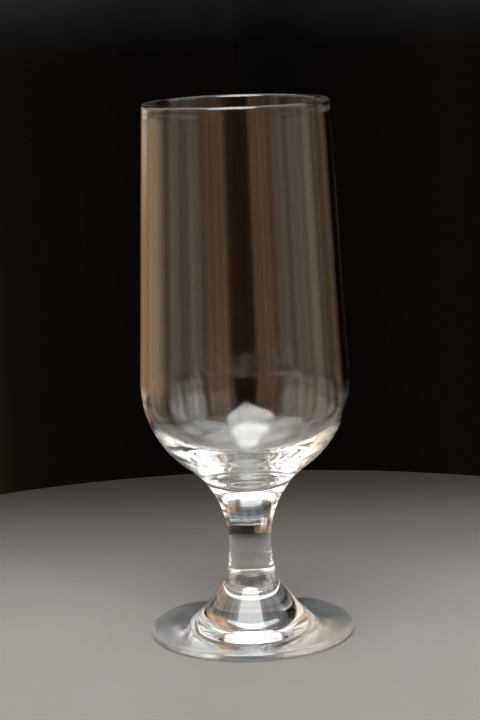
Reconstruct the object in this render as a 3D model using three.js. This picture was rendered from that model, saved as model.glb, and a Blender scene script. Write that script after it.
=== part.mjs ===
// Footed beer glass in millimetres: +Z is up and the origin is the middle of the plane it stands on.
// A pressed foot, a solid waisted stem and a heavy-based bowl are stacked on the axis and meet in flat fused seams.
import * as THREE from "three";

// Foot
const FOOT_DIAMETER = 70.6;
const FOOT_HEIGHT = 21.5; // standing plane to the stem seam
const FOOT_EDGE = 2.5; // height of the plate at its edge
const FOOT_EDGE_ROUND = 1.15;
const REST_RING_WIDTH = 2.5; // flat ring that stands on the table
const ARCH_HEIGHT = 0.8; // of the hollow under the foot
const CONE_TOE_DIAMETER = 38; // where the cone runs out into the plate
const CONE_TOE_HEIGHT = 5.6;
const CONE_TOE_ROUND = 9;
const CONE_NECK_DROP = 2.9; // stem seam to the top of the cone
const CONE_NECK_ROUND = 10;

// Stem
const STEM_LENGTH = 24.5; // foot seam to bowl seam
const WAIST_DIAMETER = 14.6;
const WAIST_RISE = 10.9; // foot seam to the narrowest point
const LOWER_FLARE_RADIUS = 53;

// Bowl
const BOWL_HEIGHT = 139; // bowl seam to the lip
const BELLY_DIAMETER = 71.8;
const BELLY_RISE = 43; // bowl seam to the widest point
const BELLY_WALL = 2;
const HOLLOW_RISE = 38; // bowl seam to the widest point of the inside
const HOLLOW_ROUND = 18.5; // of the turn from the wall into the cone of the floor
const FLOOR_RISE = 9; // bowl seam to the lowest point of the inside
const FLOOR_ROUND = 20; // of the cone's tip
const LIP_DIAMETER = 63.4;
const LIP_WALL = 1.8;
const LIP_BEAD_PROUD = 0.3; // how far the fire-polished bead stands out inside the wall

// Facets
const SEGMENTS = 64; // around the axis
const CHORD_GAP = 0.04; // how far a facet's chord may leave its arc

const footSeam = FOOT_HEIGHT;
const bowlSeam = footSeam + STEM_LENGTH;
const lipTop = bowlSeam + BOWL_HEIGHT;
const waist = new THREE.Vector2(WAIST_DIAMETER / 2, footSeam + WAIST_RISE);
const belly = { centre: new THREE.Vector2(0, bowlSeam + BELLY_RISE), radius: BELLY_DIAMETER / 2 };

// The outline above the waist is one arc that starts upright at the waist and runs tangent into the belly's arc.
function upperFlare() {
  const rise = belly.centre.y - waist.y;
  const radius = (waist.x ** 2 + rise ** 2 - belly.radius ** 2) / (2 * (belly.radius - waist.x));
  return { centre: new THREE.Vector2(waist.x + radius, waist.y), radius };
}

function lowerFlare() {
  return {
    centre: new THREE.Vector2(waist.x + LOWER_FLARE_RADIUS, waist.y),
    radius: LOWER_FLARE_RADIUS,
  };
}

// Angle of the point at the given height on the side of a flare that faces the axis.
function flareAngle(flare, height) {
  return Math.PI - Math.asin((height - flare.centre.y) / flare.radius);
}

function pointAt(circle, angle) {
  return new THREE.Vector2(Math.cos(angle), Math.sin(angle)).multiplyScalar(circle.radius).add(circle.centre);
}

// Sweep of one facet along an arc of the given radius.
function facetAngle(radius) {
  return 2 * Math.acos(1 - CHORD_GAP / radius);
}

// Points along an arc, as many as its radius and sweep need.
function arc(circle, from, to) {
  const count = Math.max(2, Math.ceil(Math.abs(to - from) / facetAngle(circle.radius)));
  const { centre, radius } = circle;
  return new THREE.EllipseCurve(centre.x, centre.y, radius, radius, from, to, to < from).getPoints(count);
}

// The arc that rounds the corner b of the outline a-b-c.
function roundedCorner(a, b, c, radius) {
  const toA = a.clone().sub(b).normalize();
  const toC = c.clone().sub(b).normalize();
  const half = Math.acos(toA.dot(toC)) / 2;
  const bisector = toA.clone().add(toC).normalize();
  const centre = b.clone().addScaledVector(bisector, radius / Math.sin(half));
  const reach = radius / Math.tan(half);
  const from = b.clone().addScaledVector(toA, reach).sub(centre).angle();
  const to = b.clone().addScaledVector(toC, reach).sub(centre).angle();
  const sweep = THREE.MathUtils.euclideanModulo(to - from + Math.PI, 2 * Math.PI) - Math.PI;
  return arc({ centre, radius }, from, from + sweep);
}

// A solid of revolution standing on its own seam plane, from an outline given in heights above the table.
function turned(outline, seam) {
  const profile = outline.map((point) => new THREE.Vector2(Math.max(0, point.x), point.y - seam));
  return new THREE.LatheGeometry(profile, SEGMENTS).rotateX(Math.PI / 2);
}

function clearGlass() {
  return new THREE.MeshStandardMaterial({
    color: 0xe4e9e7,
    roughness: 0.04,
    metalness: 0,
    transparent: true,
    opacity: 0.35,
  });
}

function piece(name, outline, seam) {
  const mesh = new THREE.Mesh(turned(outline, seam), clearGlass());
  mesh.name = name;
  return mesh;
}

function footOutline() {
  const edge = FOOT_DIAMETER / 2;
  const flare = lowerFlare();
  const seamAngle = flareAngle(flare, footSeam);
  const seamEdge = pointAt(flare, seamAngle);
  const neckOut = CONE_NECK_DROP * Math.tan(seamAngle - Math.PI);
  const neck = new THREE.Vector2(seamEdge.x + neckOut, footSeam - CONE_NECK_DROP);
  const toe = new THREE.Vector2(CONE_TOE_DIAMETER / 2, CONE_TOE_HEIGHT);
  const edgeTop = new THREE.Vector2(edge, FOOT_EDGE);
  const edgeFoot = new THREE.Vector2(edge, 0);
  const restInside = edge - FOOT_EDGE_ROUND - REST_RING_WIDTH;
  const restEnd = new THREE.Vector2(restInside, 0);
  const archRadius = (restInside ** 2 + ARCH_HEIGHT ** 2) / (2 * ARCH_HEIGHT);
  const arch = { centre: new THREE.Vector2(0, ARCH_HEIGHT - archRadius), radius: archRadius };
  return [
    ...arc(arch, Math.PI / 2, Math.acos(restInside / archRadius)),
    ...roundedCorner(restEnd, edgeFoot, edgeTop, FOOT_EDGE_ROUND),
    ...roundedCorner(edgeFoot, edgeTop, toe, FOOT_EDGE_ROUND),
    ...roundedCorner(edgeTop, toe, neck, CONE_TOE_ROUND),
    ...roundedCorner(toe, neck, seamEdge, CONE_NECK_ROUND),
    seamEdge,
    new THREE.Vector2(0, footSeam),
  ];
}

function stemOutline() {
  const below = lowerFlare();
  const above = upperFlare();
  return [
    new THREE.Vector2(0, footSeam),
    ...arc(below, flareAngle(below, footSeam), Math.PI),
    ...arc(above, Math.PI, flareAngle(above, bowlSeam)).slice(1),
    new THREE.Vector2(0, bowlSeam),
  ];
}

// Angle of the outward normal of the straight line that touches two circles on their right.
function touching(a, b) {
  const way = b.centre.clone().sub(a.centre);
  return way.angle() - Math.acos((a.radius - b.radius) / way.length());
}

// The inside below the bead: a straight wall, a round turn, a cone and the rounded floor.
function hollowOutline(beadEnd) {
  const turn = {
    centre: new THREE.Vector2(belly.radius - BELLY_WALL - HOLLOW_ROUND, bowlSeam + HOLLOW_RISE),
    radius: HOLLOW_ROUND,
  };
  const floor = { centre: new THREE.Vector2(0, bowlSeam + FLOOR_RISE + FLOOR_ROUND), radius: FLOOR_ROUND };
  const wallNormal = touching(turn, { centre: beadEnd, radius: 0 });
  const coneNormal = touching(floor, turn);
  return [...arc(turn, wallNormal, coneNormal), ...arc(floor, coneNormal, -Math.PI / 2)];
}

function bowlOutline() {
  const flare = upperFlare();
  const toFlare = flare.centre.clone().sub(belly.centre).angle() - 2 * Math.PI;
  const bead = (LIP_WALL + LIP_BEAD_PROUD) / 2;
  const lip = { centre: new THREE.Vector2(LIP_DIAMETER / 2 - bead, lipTop - bead), radius: bead };
  const wallNormal = touching(belly, lip);
  const beadEnd = 2 * Math.PI - Math.acos((bead - LIP_WALL) / bead);
  return [
    new THREE.Vector2(0, bowlSeam),
    ...arc(flare, flareAngle(flare, bowlSeam), toFlare + Math.PI),
    ...arc(belly, toFlare, wallNormal).slice(1),
    ...arc(lip, wallNormal, beadEnd),
    ...hollowOutline(pointAt(lip, beadEnd)),
  ];
}

const foot = piece("foot", footOutline(), 0);
const stem = piece("stem", stemOutline(), footSeam);
const bowl = piece("bowl", bowlOutline(), bowlSeam);

const stemGroup = new THREE.Group();
stemGroup.position.z = FOOT_HEIGHT;
const bowlGroup = new THREE.Group();
bowlGroup.position.z = STEM_LENGTH;
bowlGroup.add(bowl);
stemGroup.add(stem, bowlGroup);

const glass = new THREE.Group();
glass.name = "beer_glass";
glass.add(foot, stemGroup);

export default glass;
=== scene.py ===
"""A clear footed beer glass on a pale round table, in the part's own frame.

Blender's objects are in metres, with +Z up and the camera looking along +Y. Outlines are in millimetres.
"""

import math

import bpy
from mathutils import Matrix, Vector


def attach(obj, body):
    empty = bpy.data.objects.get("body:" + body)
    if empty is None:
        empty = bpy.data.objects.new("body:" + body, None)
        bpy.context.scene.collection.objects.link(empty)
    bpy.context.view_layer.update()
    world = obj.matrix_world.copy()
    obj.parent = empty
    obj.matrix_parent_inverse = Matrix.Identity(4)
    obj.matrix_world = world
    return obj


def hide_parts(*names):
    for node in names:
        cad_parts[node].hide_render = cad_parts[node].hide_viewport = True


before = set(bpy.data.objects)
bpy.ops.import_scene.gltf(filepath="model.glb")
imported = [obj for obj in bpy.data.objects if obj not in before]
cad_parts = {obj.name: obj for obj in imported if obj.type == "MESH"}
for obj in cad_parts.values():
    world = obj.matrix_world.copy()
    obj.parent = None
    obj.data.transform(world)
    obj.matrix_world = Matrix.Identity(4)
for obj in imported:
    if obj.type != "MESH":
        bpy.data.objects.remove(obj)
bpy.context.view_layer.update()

MM = 0.001  # metres in a millimetre

# Sizes of the glass in millimetres, as in the part
FOOT_DIAMETER = 70.6
FOOT_HEIGHT = 21.5
FOOT_EDGE = 2.5
FOOT_EDGE_ROUND = 1.15
REST_RING_WIDTH = 2.5
ARCH_HEIGHT = 0.8
CONE_TOE_DIAMETER = 38
CONE_TOE_HEIGHT = 5.6
CONE_TOE_ROUND = 9
CONE_NECK_DROP = 2.9
CONE_NECK_ROUND = 10
STEM_LENGTH = 24.5
WAIST_DIAMETER = 14.6
WAIST_RISE = 10.9
LOWER_FLARE_RADIUS = 53
BOWL_HEIGHT = 139
BELLY_DIAMETER = 71.8
BELLY_RISE = 43
BELLY_WALL = 2
HOLLOW_RISE = 38
HOLLOW_ROUND = 18.5
FLOOR_RISE = 9
FLOOR_ROUND = 20
LIP_DIAMETER = 63.4
LIP_WALL = 1.8
LIP_BEAD_PROUD = 0.3
LIP_BEAD_FADE = 4  # height in which the bead runs out into the wall, here alone

# Fineness of the turned surfaces, in millimetres and steps
SEGMENTS = 256
CHORD_GAP = 0.002
LONGEST_STEP = 4
FEWEST_ARC_STEPS = 4
FADE_STEPS = 16
NEAR_ZERO = 1e-6

# The table top, in millimetres
TABLE_RADIUS = 240
TABLE_THICKNESS = 22
TABLE_EDGE_ROUND = 6
TABLE_DROP = 0.05  # air under the rest ring, which only touches at a few points

FOOT_SEAM = FOOT_HEIGHT
BOWL_SEAM = FOOT_SEAM + STEM_LENGTH
LIP_TOP = BOWL_SEAM + BOWL_HEIGHT
WAIST = Vector((WAIST_DIAMETER / 2, FOOT_SEAM + WAIST_RISE))
BELLY = Vector((0, BOWL_SEAM + BELLY_RISE))
BELLY_RADIUS = BELLY_DIAMETER / 2


def point_at(centre, radius, angle):
    return centre + radius * Vector((math.cos(angle), math.sin(angle)))


def facet_angle(radius):
    return 2 * math.acos(1 - CHORD_GAP / radius)


def arc(centre, radius, start, end):
    """Points along an arc, as many as its radius and sweep need."""
    count = max(FEWEST_ARC_STEPS, math.ceil(abs(end - start) / facet_angle(radius)))
    return [point_at(centre, radius, start + (end - start) * i / count) for i in range(count + 1)]


def line(start, end):
    """Points along a straight stretch, its two ends left out."""
    count = math.ceil((end - start).length / LONGEST_STEP)
    return [start.lerp(end, i / count) for i in range(1, count)]


def rounded_corner(a, b, c, radius):
    """The arc that rounds the corner b of the outline a-b-c."""
    to_a = (a - b).normalized()
    to_c = (c - b).normalized()
    half = math.acos(to_a.dot(to_c)) / 2
    centre = b + (to_a + to_c).normalized() * (radius / math.sin(half))
    reach = radius / math.tan(half)
    first = b + to_a * reach - centre
    last = b + to_c * reach - centre
    start = math.atan2(first.y, first.x)
    end = math.atan2(last.y, last.x)
    sweep = (end - start + math.pi) % (2 * math.pi) - math.pi
    return arc(centre, radius, start, start + sweep)


def upper_flare():
    """The arc that starts upright at the waist and runs tangent into the belly."""
    rise = BELLY.y - WAIST.y
    radius = (WAIST.x**2 + rise**2 - BELLY_RADIUS**2) / (2 * (BELLY_RADIUS - WAIST.x))
    return WAIST + Vector((radius, 0)), radius


def lower_flare():
    return WAIST + Vector((LOWER_FLARE_RADIUS, 0)), LOWER_FLARE_RADIUS


def flare_angle(centre, radius, height):
    return math.pi - math.asin((height - centre.y) / radius)


def foot_outline():
    """The foot's stretches from the middle of its hollow underside round to the seam."""
    edge = FOOT_DIAMETER / 2
    centre, radius = lower_flare()
    seam_angle = flare_angle(centre, radius, FOOT_SEAM)
    seam_edge = point_at(centre, radius, seam_angle)
    neck_out = CONE_NECK_DROP * math.tan(seam_angle - math.pi)
    neck = Vector((seam_edge.x + neck_out, FOOT_SEAM - CONE_NECK_DROP))
    toe = Vector((CONE_TOE_DIAMETER / 2, CONE_TOE_HEIGHT))
    edge_top = Vector((edge, FOOT_EDGE))
    edge_foot = Vector((edge, 0))
    rest_inside = edge - FOOT_EDGE_ROUND - REST_RING_WIDTH
    rest_end = Vector((rest_inside, 0))
    arch_radius = (rest_inside**2 + ARCH_HEIGHT**2) / (2 * ARCH_HEIGHT)
    arch_centre = Vector((0, ARCH_HEIGHT - arch_radius))
    arch = arc(arch_centre, arch_radius, math.pi / 2, math.acos(rest_inside / arch_radius))
    lower_edge = rounded_corner(rest_end, edge_foot, edge_top, FOOT_EDGE_ROUND)
    upper_edge = rounded_corner(edge_foot, edge_top, toe, FOOT_EDGE_ROUND)
    toe_round = rounded_corner(edge_top, toe, neck, CONE_TOE_ROUND)
    neck_round = rounded_corner(toe, neck, seam_edge, CONE_NECK_ROUND)
    top = [
        *lower_edge,
        *upper_edge,
        *line(upper_edge[-1], toe_round[0]),
        *toe_round,
        *line(toe_round[-1], neck_round[0]),
        *neck_round,
        seam_edge,
    ]
    return [arch, top, [Vector((0, FOOT_SEAM))]]


def stem_outline():
    """The stem's stretches from the middle of its lower seam to the middle of its upper one."""
    low_centre, low_radius = lower_flare()
    high_centre, high_radius = upper_flare()
    side = [
        *arc(low_centre, low_radius, flare_angle(low_centre, low_radius, FOOT_SEAM), math.pi),
        *arc(high_centre, high_radius, math.pi, flare_angle(high_centre, high_radius, BOWL_SEAM))[1:],
    ]
    return [[Vector((0, FOOT_SEAM))], side, [Vector((0, BOWL_SEAM))]]


def touching(a, a_radius, b, b_radius):
    """Angle of the outward normal of the straight line that touches two circles on their right."""
    way = b - a
    return math.atan2(way.y, way.x) - math.acos((a_radius - b_radius) / way.length)


def hollow_outline(fade_end):
    """The inside below the lip's bead: a straight wall, a round turn, a cone and the rounded floor."""
    turn = Vector((BELLY_RADIUS - BELLY_WALL - HOLLOW_ROUND, BOWL_SEAM + HOLLOW_RISE))
    floor = Vector((0, BOWL_SEAM + FLOOR_RISE + FLOOR_ROUND))
    wall_normal = touching(turn, HOLLOW_ROUND, fade_end, 0)
    cone_normal = touching(floor, FLOOR_ROUND, turn, HOLLOW_ROUND)
    turn_arc = arc(turn, HOLLOW_ROUND, wall_normal, cone_normal)
    floor_arc = arc(floor, FLOOR_ROUND, cone_normal, -math.pi / 2)
    return [
        *line(fade_end, turn_arc[0]),
        *turn_arc,
        *line(turn_arc[-1], floor_arc[0]),
        *floor_arc,
    ]


def bowl_outline():
    """The bowl's stretches from the middle of its seam up the outside and down the inside."""
    centre, radius = upper_flare()
    to_flare = centre - BELLY
    flare_end = math.atan2(to_flare.y, to_flare.x)
    bead = (LIP_WALL + LIP_BEAD_PROUD) / 2
    lip = Vector((LIP_DIAMETER / 2 - bead, LIP_TOP - bead))
    wall_normal = touching(BELLY, BELLY_RADIUS, lip, bead)
    belly = arc(BELLY, BELLY_RADIUS, flare_end, wall_normal)
    lip_arc = arc(lip, bead, wall_normal, math.pi)
    fade = []
    for i in range(1, FADE_STEPS + 1):
        part = i / FADE_STEPS
        ease = part * part * (3 - 2 * part)
        fade.append(lip_arc[-1] + Vector((LIP_BEAD_PROUD * ease, -LIP_BEAD_FADE * part)))
    outside = [
        *arc(centre, radius, flare_angle(centre, radius, BOWL_SEAM), flare_end + math.pi),
        *belly[1:],
        *line(belly[-1], lip_arc[0]),
        *lip_arc,
    ]
    return [[Vector((0, BOWL_SEAM))], [*outside, *fade, *hollow_outline(fade[-1])]]


def turned(name, stretches, side, disc):
    """A closed mesh of revolution.

    Stretches meet in sharp rings, and flat discs on the axis get their own material.
    """
    points = [p for stretch in stretches for p in stretch]
    sharp_rings = set()
    count = 0
    for stretch in stretches[:-1]:
        count += len(stretch)
        sharp_rings |= {count - 1, count}
    verts = []
    rings = []
    for p in points:
        if p.x < NEAR_ZERO:
            rings.append([len(verts)] * SEGMENTS)
            verts.append((0.0, 0.0, p.y * MM))
            continue
        rings.append(list(range(len(verts), len(verts) + SEGMENTS)))
        for s in range(SEGMENTS):
            turn = 2 * math.pi * s / SEGMENTS
            verts.append((p.x * math.cos(turn) * MM, p.x * math.sin(turn) * MM, p.y * MM))
    faces = []
    slots = []
    for low, high, a, b in zip(rings, rings[1:], points, points[1:]):
        is_disc = abs(a.y - b.y) < NEAR_ZERO and min(a.x, b.x) < NEAR_ZERO
        for s in range(SEGMENTS):
            t = (s + 1) % SEGMENTS
            faces.append(list(dict.fromkeys((low[s], low[t], high[t], high[s]))))
            slots.append(1 if is_disc else 0)
    mesh = bpy.data.meshes.new(name)
    mesh.from_pydata(verts, [], faces)
    mesh.materials.append(side)
    mesh.materials.append(disc)
    mesh.polygons.foreach_set("material_index", slots)
    mesh.polygons.foreach_set("use_smooth", [True] * len(faces))
    ring_of = {v: i for i, ring in enumerate(rings) for v in ring}
    sharp = []
    for edge in mesh.edges:
        a, b = (ring_of[v] for v in edge.vertices)
        sharp.append(a == b and a in sharp_rings)
    mesh.attributes.new("sharp_edge", "BOOLEAN", "EDGE").data.foreach_set("value", sharp)
    mesh.validate()
    mesh.update()
    thing = bpy.data.objects.new(name, mesh)
    bpy.context.scene.collection.objects.link(thing)
    return thing


class Value:
    """One output of a shader's node.

    Python's operators add the maths nodes, and node() adds any other kind.
    """

    def __init__(self, tree, socket):
        self.tree = tree
        self.socket = socket

    def node(self, kind, inputs, settings=None, output=0):
        made = self.tree.nodes.new(kind)
        for key, value in (settings or {}).items():
            setattr(made, key, value)
        for key, value in inputs.items():
            feed(made.inputs[key], value)
        return Value(self.tree, made.outputs[output])

    def maths(self, operation, *operands):
        return self.node("ShaderNodeMath", dict(enumerate(operands)), {"operation": operation})

    def __add__(self, other):
        return self.maths("ADD", self, other)

    __radd__ = __add__

    def __sub__(self, other):
        return self.maths("SUBTRACT", self, other)

    def __rsub__(self, other):
        return self.maths("SUBTRACT", other, self)

    def __mul__(self, other):
        return self.maths("MULTIPLY", self, other)

    __rmul__ = __mul__

    def rise(self, low, high):
        """0 up to low, 1 from high on and a smooth ramp between them."""
        limits = {"Value": self, "From Min": low, "From Max": high}
        return self.node("ShaderNodeMapRange", limits, {"interpolation_type": "SMOOTHSTEP"})

    def between(self, low, high, blur):
        return self.rise(low - blur, low + blur) * (1 - self.rise(high - blur, high + blur))

    def blend(self, start, end):
        """The colour start where this is 0 and end where it is 1."""
        return self.node("ShaderNodeMix", {0: self, 6: start, 7: end}, {"data_type": "RGBA"}, 2)


def feed(slot, value):
    if isinstance(value, Value):
        value.tree.links.new(value.socket, slot)
    else:
        slot.default_value = value


def coordinates(tree, kind):
    """The chosen texture coordinate as a vector, and its three parts."""
    vector = Value(tree, tree.nodes.new("ShaderNodeTexCoord").outputs[kind])
    return vector, [vector.node("ShaderNodeSeparateXYZ", {"Vector": vector}, output=i) for i in range(3)]


def noise(vector, scale, detail=2.0):
    return vector.node("ShaderNodeTexNoise", {"Vector": vector, "Scale": scale, "Detail": detail})


def times(vector, factors):
    """A vector or colour times another, part by part."""
    return vector.node("ShaderNodeVectorMath", {0: vector, 1: factors}, {"operation": "MULTIPLY"})


def new_material(name):
    material = bpy.data.materials.new(name)
    material.use_nodes = True
    return material, material.node_tree, material.node_tree.nodes["Principled BSDF"].inputs


# Most of a noise's values lie in the first range, and the second picks out its peaks.
NOISE_RANGE = (0.3, 0.7)
PEAK_RANGE = (0.62, 0.8)

# Finish of the glass, and of the table with its painted shade, with heights and lengths in metres
GLASS_IOR = 1.515
GLASS_TINTS = ((0.982, 0.986, 0.984, 1), (0.99, 0.992, 0.99, 1))
GLASS_CLOUD_SCALE = 30
MARK_STRETCH = (90, 90, 25)
MARK_ROUGHNESS = 0.02
WORN_FADE = (0.00005, 0.0004)
WORN_ROUGHNESS = 0.22
HEAVY_BASE = (0.045, 0.07)
HEAVY_BASE_BLUR = 0.006
HEAVY_BASE_ROUGHNESS = 0.06
WAVE_STRETCH = (60, 60, 14)
WAVE_HEIGHT = {"foot": 0.00009, "stem": 0.00001, "bowl": 0.00002}
SEAM_TINTS = ((0.98, 0.985, 0.98, 1), (1, 1, 1, 1))
TABLE_TINTS = ((0.118, 0.115, 0.11, 1), (0.126, 0.123, 0.118, 1))
TABLE_CLOUD_SCALE = 14
# Painted shade: between these two distances along y, in metres, the table's colour darkens to this dark
# colour, in place of light falling off towards the far edge.
TABLE_PAINTED_SHADE = (0.012, 0.0105, 0.009, 1)
TABLE_SHADE_FADE = (-0.03, 0.24)
TABLE_ROUGHNESS = 0.75
TABLE_GRAIN = 0.15
TABLE_GRAIN_SCALE = 120


def glass_material(name, wave_height):
    """Colourless glass with faint polish marks, a slight waviness and a worn ring where it stands.

    The heavy base under the hollow is a little less clear than the rest.
    """
    material, tree, shader = new_material(name)
    shader["Transmission Weight"].default_value = 1.0
    shader["IOR"].default_value = GLASS_IOR
    place, (_, _, z) = coordinates(tree, "Object")
    cloud = noise(place, GLASS_CLOUD_SCALE, detail=3).rise(*NOISE_RANGE)
    feed(shader["Base Color"], cloud.blend(*GLASS_TINTS))
    marks = noise(times(place, MARK_STRETCH), 1, detail=4).rise(*PEAK_RANGE)
    worn = 1 - z.rise(*WORN_FADE)
    heavy = z.between(*HEAVY_BASE, HEAVY_BASE_BLUR)
    roughness = MARK_ROUGHNESS * marks + WORN_ROUGHNESS * worn + HEAVY_BASE_ROUGHNESS * heavy
    feed(shader["Roughness"], roughness)
    waves = noise(times(place, WAVE_STRETCH), 1, detail=1)
    feed(shader["Normal"], waves.node("ShaderNodeBump", {"Height": waves, "Distance": wave_height}))
    return material


def seam_material():
    """The fused seams, where the pieces have run together and nothing shows."""
    material, tree, shader = new_material("fused_seam")
    shader["Alpha"].default_value = 0.0
    place, _ = coordinates(tree, "Object")
    feed(shader["Base Color"], noise(place, GLASS_CLOUD_SCALE, detail=3).blend(*SEAM_TINTS))
    return material


def table_material():
    """Pale matt lacquer with a faint cloudiness, and painted shade that darkens it towards the table's far
    edge.
    """
    material, tree, shader = new_material("pale_table")
    shader["Specular IOR Level"].default_value = 0.0
    place, (_, y, _) = coordinates(tree, "Object")
    cloud = noise(place, TABLE_CLOUD_SCALE, detail=4).rise(*NOISE_RANGE)
    # Painted shade: the base colour darkens towards the table's far edge.
    feed(shader["Base Color"], y.rise(*TABLE_SHADE_FADE).blend(cloud.blend(*TABLE_TINTS), TABLE_PAINTED_SHADE))
    feed(shader["Roughness"], TABLE_ROUGHNESS + TABLE_GRAIN * noise(place, TABLE_GRAIN_SCALE))
    return material


def table_top():
    """A round table top with a rounded edge, its face a hair under the foot."""
    under = Vector((0, -TABLE_THICKNESS))
    rim = Vector((TABLE_RADIUS, -TABLE_THICKNESS))
    corner = Vector((TABLE_RADIUS, -TABLE_DROP))
    middle = Vector((0, -TABLE_DROP))
    edge = rounded_corner(rim, corner, middle, TABLE_EDGE_ROUND)
    lacquer = table_material()
    turned("table_top", [[under], [rim], edge, [middle]], lacquer, lacquer)


# The studio's light by direction from the glass, in degrees: fields with soft edges, later ones over
# earlier ones. Azimuth 0 is the camera's side, 90 the right of the picture and 180 behind.
FIELDS = (
    # left, right, low, high, softness, colour
    (-200, 200, 40, 95, 4, (1.3, 1.3, 1.28)),  # pale board overhead
    (-115, -50, 46, 70, 8, (3.2, 3.1, 2.9)),  # soft box high on the left
    (-134, -48, 8, 44, 6, (1.22, 1.02, 0.79)),  # warm soft box on the left
    (-132, -45, -28, 2, 5, (0.48, 0.37, 0.25)),  # beige card under it
    (-77, -61, -28, 2, 5, (0.22, 0.165, 0.11)),  # darker strip on that card
    (-170, -134, -28, -2, 4, (0.26, 0.15, 0.08)),  # brown card at its far end
    (-160, -142, -4, 5, 3, (0.64, 0.53, 0.43)),  # small pale card
    (-45, -14, 0, 38, 5, (0.5, 0.3, 0.16)),  # brown card on the camera's left
    (-45, -14, -28, 0, 7, (0.53, 0.29, 0.155)),  # its lower half
    (14, 45, -28, 14, 7, (0.42, 0.25, 0.14)),  # brown card on the camera's right
    (-13, 13, -28, 14, 5, (0.085, 0.04, 0.017)),  # dark gap around the camera
    (14, 48, 16, 38, 5, (0.8, 0.68, 0.52)),  # pale card over the right brown one
    (53, 102, 12, 40, 6, (2.0, 2.03, 2.0)),  # cool soft box on the right
    (45, 99, -28, 4, 4, (0.46, 0.37, 0.275)),  # beige card under it
    (162, 200, 2, 38, 5, (0.08, 0.095, 0.105)),  # dim blue card behind
    (-200, -158, 2, 38, 5, (0.08, 0.095, 0.105)),  # its left half
    (132, 160, 12, 40, 4, (0.45, 0.26, 0.145)),  # brown card at the back
    (132, 164, 2, 12, 4, (0.08, 0.095, 0.105)),  # dim blue card under it
)
DARKNESS = (0.003, 0.0022, 0.0016)

# Upright streaks over all the fields, by azimuth
STREAK_SCALE = 0.13
STREAK_TINTS = ((0.55, 0.52, 0.48, 1), (1.45, 1.48, 1.52, 1))

# A lamp over the glass: a kite that is widest and brightest in front of the glass and runs to a point
# behind it, with its longer wing on the left. Turn goes from the camera's horizon up and over to the back,
# and lean goes to the side, both in degrees.
LAMP_FRONT = (13.5, 13.35, 13.1)
LAMP_BACK = (8.6, 8.5, 8.35)
LAMP_FADE = (48, 90)
LAMP_START = 39
LAMP_WIDEST = (46, 56)
LAMP_END = 135
LAMP_LEAN = 22.5
LAMP_SKEW = 0.2
LAMP_SOFT = 3


def studio_light():
    """The world's light: the fields with their streaks, and the lamp over them."""
    world = bpy.data.worlds.new("studio")
    world.use_nodes = True
    tree = world.node_tree
    _, (x, y, z) = coordinates(tree, "Generated")
    degree = math.degrees(1)
    azimuth = x.maths("ARCTAN2", x, 0 - y) * degree
    elevation = z.maths("ARCSINE", z) * degree
    light = (*DARKNESS, 1)
    for left, right, low, high, softness, colour in FIELDS:
        inside = azimuth.between(left, right, softness) * elevation.between(low, high, softness)
        light = inside.blend(light, (*colour, 1))
    around = azimuth.node("ShaderNodeCombineXYZ", {0: azimuth})
    streaks = noise(around, STREAK_SCALE, detail=3).rise(*NOISE_RANGE).blend(*STREAK_TINTS)
    light = times(light, streaks)
    turn = z.maths("ARCTAN2", z, 0 - y) * degree
    side = x.maths("ARCSINE", x) * degree
    lean = side.maths("ABSOLUTE", side) + LAMP_SKEW * side
    wide = turn.rise(LAMP_START - LAMP_SOFT, LAMP_WIDEST[0]) * (1 - turn.rise(LAMP_WIDEST[1], LAMP_END))
    inside = (LAMP_LEAN * wide - lean).rise(-LAMP_SOFT, LAMP_SOFT)
    lamp = inside * turn.between(LAMP_START, LAMP_END, LAMP_SOFT)
    glow = turn.rise(*LAMP_FADE).blend((*LAMP_FRONT, 1), (*LAMP_BACK, 1))
    feed(tree.nodes["Background"].inputs["Color"], lamp.blend(light, glow))
    bpy.context.scene.world = world


# The photograph's camera: its place in metres, its angles in degrees, its focal length in the picture's
# pixels and its sensor in millimetres
CAMERA_PLACE = (0, -0.7265, 0.2341)
CAMERA_YAW = -0.108
CAMERA_PITCH = 10.73
CAMERA_ROLL = -1.978
FOCAL_PIXELS = 2157
PICTURE_PIXELS_HIGH = 720
SENSOR_SIZE = 36


def make_camera():
    """The photograph's viewpoint, in front of and above the glass, with its slight lean to one side."""
    yaw, pitch, roll = (math.radians(d) for d in (CAMERA_YAW, CAMERA_PITCH, CAMERA_ROLL))
    across = Vector((math.cos(yaw), -math.sin(yaw), 0))
    level = Vector((math.sin(yaw), math.cos(yaw), 0))
    rise = Vector((0, 0, 1))
    ahead = math.cos(pitch) * level - math.sin(pitch) * rise
    upward = math.sin(pitch) * level + math.cos(pitch) * rise
    right = math.cos(roll) * across + math.sin(roll) * upward
    top = math.cos(roll) * upward - math.sin(roll) * across
    camera = bpy.data.cameras.new("camera")
    camera.sensor_width = SENSOR_SIZE
    camera.lens = FOCAL_PIXELS * SENSOR_SIZE / PICTURE_PIXELS_HIGH
    thing = bpy.data.objects.new("camera", camera)
    thing.matrix_world = Matrix((right, top, -ahead)).transposed().to_4x4()
    thing.location = CAMERA_PLACE
    bpy.context.scene.collection.objects.link(thing)
    bpy.context.scene.camera = thing


seam = seam_material()
for node, outline in (("foot", foot_outline), ("stem", stem_outline), ("bowl", bowl_outline)):
    glass = glass_material(node + "_glass", WAVE_HEIGHT[node])
    piece = turned(node + "_glass", outline(), glass, seam)
    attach(piece, "root")
    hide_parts(node)

table_top()
studio_light()
make_camera()

# Light passes many faces of glass, and the lamp's reflections keep their full strength.
scene = bpy.context.scene
scene.view_settings.view_transform = "Standard"
scene.cycles.sample_clamp_indirect = 20
scene.cycles.max_bounces = 32
scene.cycles.transmission_bounces = 32
scene.cycles.glossy_bounces = 16
scene.cycles.transparent_max_bounces = 32
